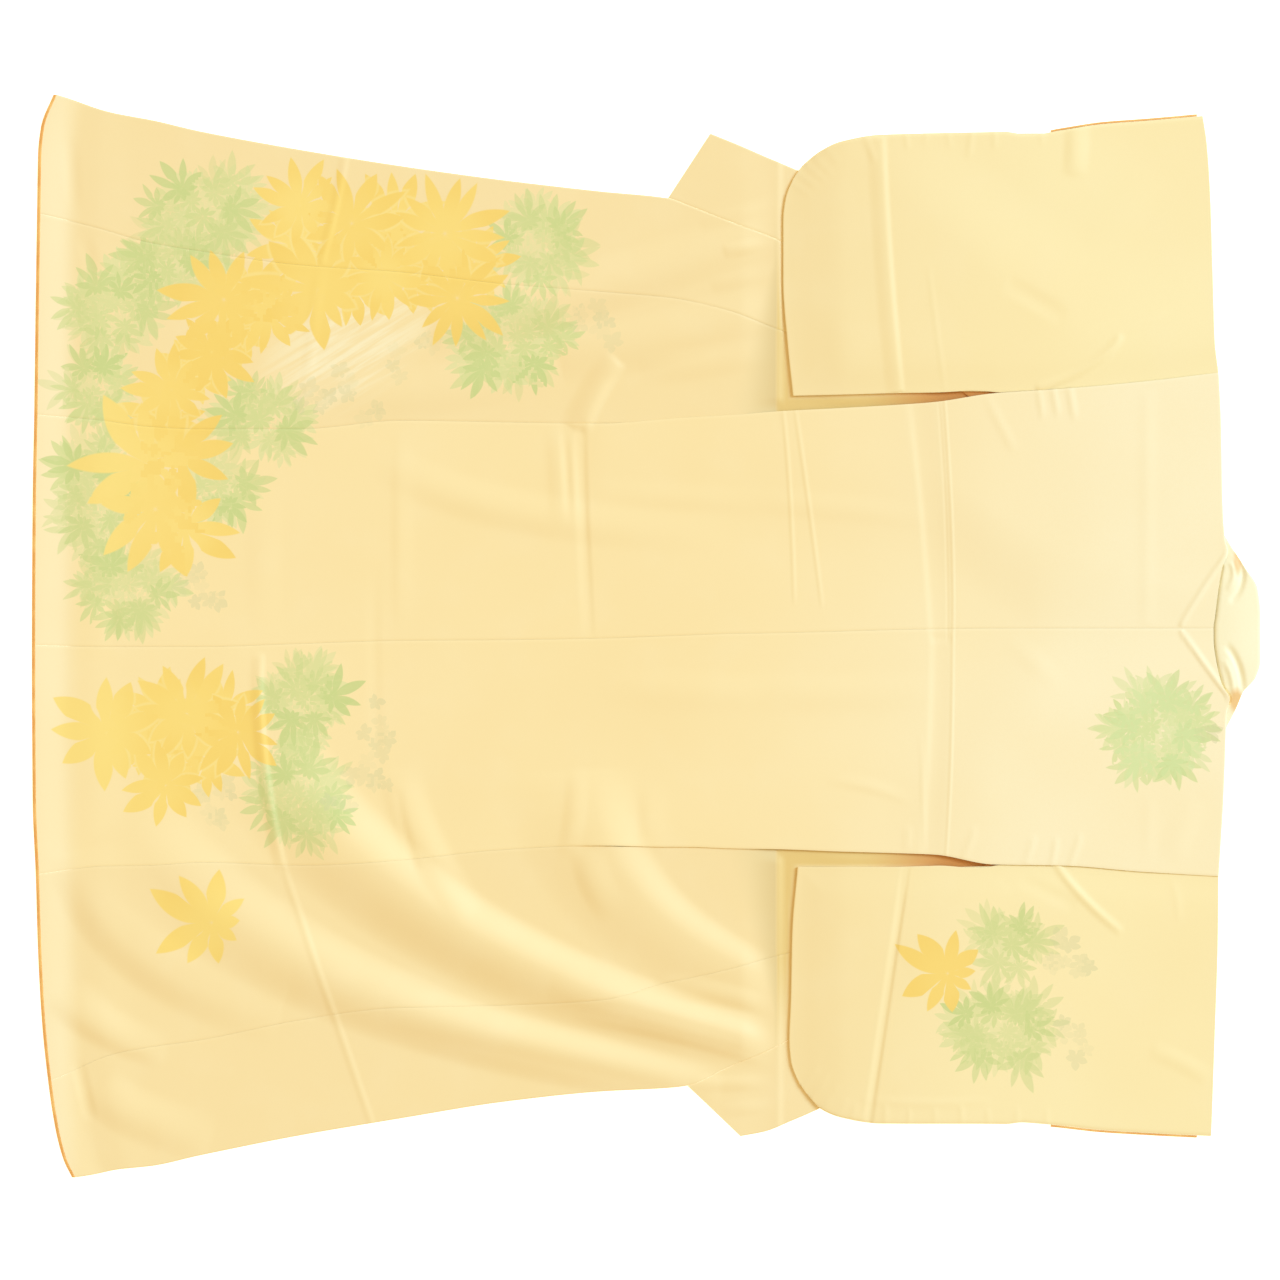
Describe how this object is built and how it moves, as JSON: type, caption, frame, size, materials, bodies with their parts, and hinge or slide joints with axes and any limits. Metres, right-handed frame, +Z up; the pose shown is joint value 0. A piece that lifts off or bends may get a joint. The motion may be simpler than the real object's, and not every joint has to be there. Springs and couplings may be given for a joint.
{
  "type": "kimono",
  "caption": "Lined silk kimono laid flat with its back up: fronts opened outwards, sleeves spread, collar folded in half round the back of the neck.",
  "frame": {"origin": "middle of the garment's outline, on the surface that it lies on", "axes": "+X from the hem to the shoulders, +Y towards the wearer's left, +Z up from the surface"},
  "size_m": [1.598, 1.406, 0.0147],
  "materials": {
    "body_silk": "cream silk crepe with a dyed leaf pattern",
    "overlap_silk": "cream silk crepe with a dyed leaf pattern",
    "collar_silk": "plain cream silk crepe",
    "sleeve_silk": "cream silk crepe with a dyed leaf pattern",
    "lining_silk": "plain orange silk lining"
  },
  "bodies": {
    "root": {"back_left": "body_silk", "back_right": "body_silk", "front_left": "body_silk", "front_right": "body_silk", "okumi_left": "overlap_silk", "okumi_right": "overlap_silk", "collar_left": "collar_silk", "collar_right": "collar_silk", "collar_neck": "collar_silk", "sleeve_left": "sleeve_silk", "sleeve_right": "sleeve_silk", "hem_lining": "lining_silk", "cuff_lining_left": "lining_silk", "cuff_lining_right": "lining_silk"}
  },
  "joints": []
}
